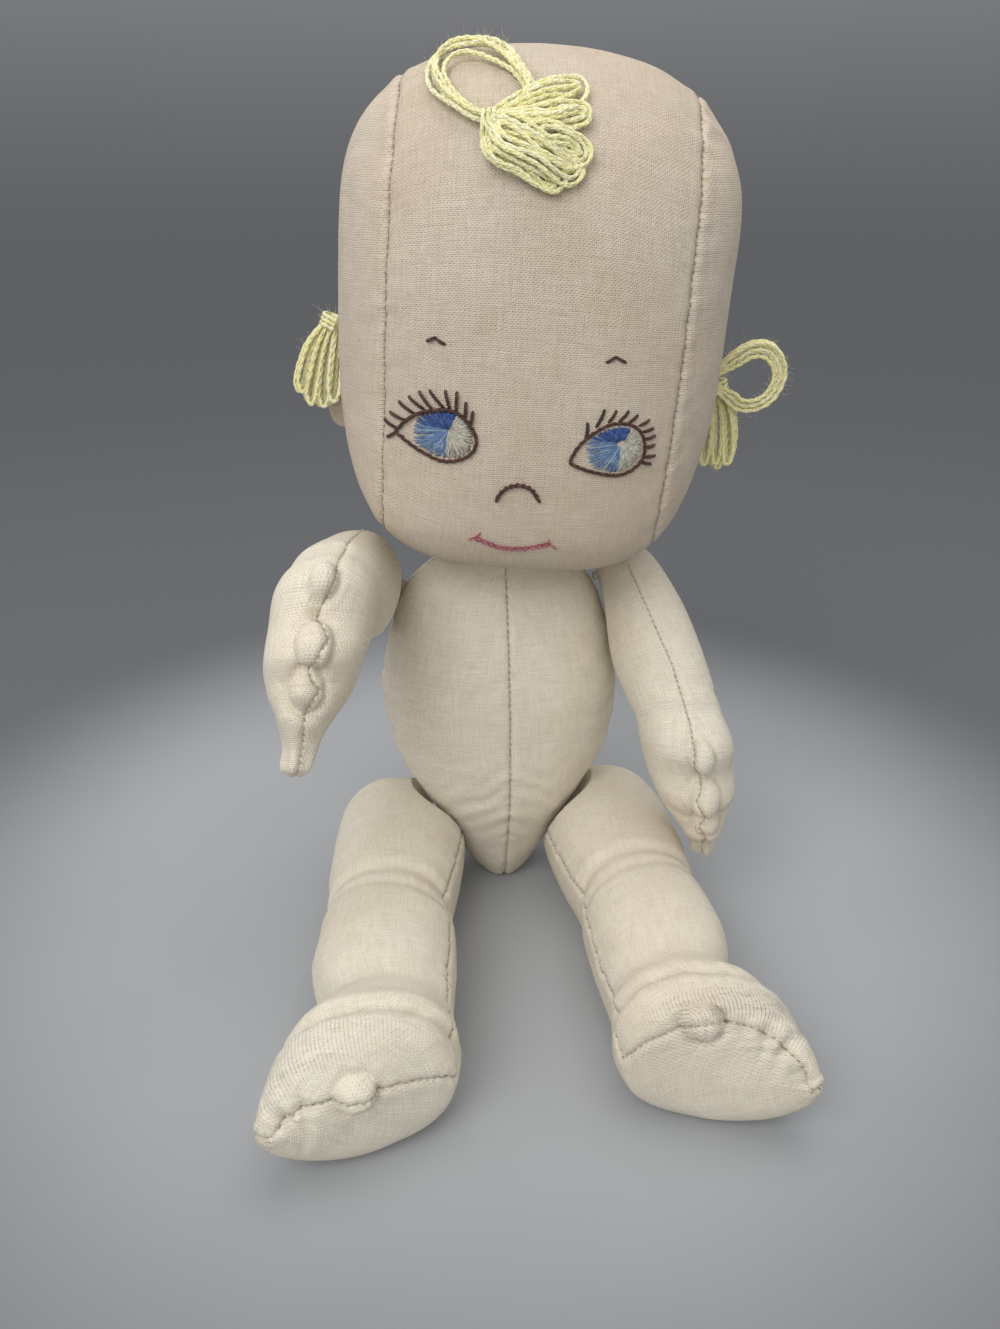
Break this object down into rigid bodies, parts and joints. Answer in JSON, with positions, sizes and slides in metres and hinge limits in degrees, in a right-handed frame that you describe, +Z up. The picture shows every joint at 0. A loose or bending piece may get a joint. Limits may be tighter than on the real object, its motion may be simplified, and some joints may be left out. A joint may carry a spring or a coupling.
{
  "type": "rag doll",
  "caption": "Sitting stuffed cloth doll with a large head, embroidered face, yarn hair tufts, curved arms and turned-out feet.",
  "frame": {"origin": "on the floor under the torso's seat, 3 mm behind its side seams", "axes": "+Z up, the doll faces -Y, and +X is the doll's own left"},
  "size_m": [0.166, 0.1901, 0.2675],
  "materials": {
    "muslin": "unbleached plain-woven cotton",
    "fibre": "loose white fibre filling",
    "brown_floss": "stranded cotton floss",
    "dark_blue_floss": "stranded cotton floss",
    "pale_blue_floss": "stranded cotton floss",
    "cream_floss": "stranded cotton floss",
    "pink_floss": "stranded cotton floss",
    "yarn": "plied fuzzy yarn",
    "thread": "sewing thread"
  },
  "bodies": {
    "torso": {"torso_front_left": "muslin", "torso_front_right": "muslin", "torso_back": "muslin", "torso_stuffing": "fibre", "neck_thread": "thread", "shoulder_thread_left": "thread", "shoulder_thread_right": "thread", "hip_thread_left": "thread", "hip_thread_right": "thread"},
    "neck": {"neck": "muslin"},
    "head": {"head_centre_panel": "muslin", "head_side_left": "muslin", "head_side_right": "muslin", "head_stuffing": "fibre", "ear_left": "muslin", "ear_right": "muslin", "eye_outline_left": "brown_floss", "eye_outline_right": "brown_floss", "iris_cream_left": "cream_floss", "iris_cream_right": "cream_floss", "iris_dark_left": "dark_blue_floss", "iris_dark_right": "dark_blue_floss", "iris_pale_left": "pale_blue_floss", "iris_pale_right": "pale_blue_floss", "brow_left": "brown_floss", "brow_right": "brown_floss", "nose_stitch": "brown_floss", "mouth_stitch": "pink_floss", "hair_top_bunch": "yarn", "hair_top_tie": "yarn", "hair_top_ring": "yarn", "hair_left_bunch": "yarn", "hair_left_tie": "yarn", "hair_left_ring": "yarn", "hair_right_bunch": "yarn", "hair_right_tie": "yarn"},
    "arm_left": {"arm_left_outer": "muslin", "arm_left_inner": "muslin", "arm_left_stuffing": "fibre"},
    "arm_right": {"arm_right_outer": "muslin", "arm_right_inner": "muslin", "arm_right_stuffing": "fibre"},
    "leg_left": {"leg_left_upper": "muslin", "leg_left_lower": "muslin", "leg_left_stuffing": "fibre"},
    "leg_right": {"leg_right_upper": "muslin", "leg_right_lower": "muslin", "leg_right_stuffing": "fibre"}
  },
  "joints": [
    {"name": "neck_turn", "type": "hinge", "parent": "torso", "child": "neck", "pos_m": [0, -0.003, 0.135], "axis": [0, 0, 1], "range_deg": [-10, 12]},
    {"name": "head_nod", "type": "hinge", "parent": "neck", "child": "head", "pos_m": [0, -0.003, 0.135], "axis": [0.9925, -0.1219, 0], "range_deg": [-6, 3]},
    {"name": "shoulder_left", "type": "hinge", "parent": "torso", "child": "arm_left", "pos_m": [0.043, -0.003, 0.113], "axis": [1, 0, 0], "range_deg": [-40, 4]},
    {"name": "shoulder_right", "type": "hinge", "parent": "torso", "child": "arm_right", "pos_m": [-0.043, -0.003, 0.113], "axis": [1, 0, 0], "range_deg": [0, 60]},
    {"name": "hip_left", "type": "hinge", "parent": "torso", "child": "leg_left", "pos_m": [0.036, -0.003, 0.02], "axis": [1, 0, 0], "range_deg": [0, 90]},
    {"name": "hip_right", "type": "hinge", "parent": "torso", "child": "leg_right", "pos_m": [-0.036, -0.003, 0.02], "axis": [1, 0, 0], "range_deg": [0, 90]}
  ]
}
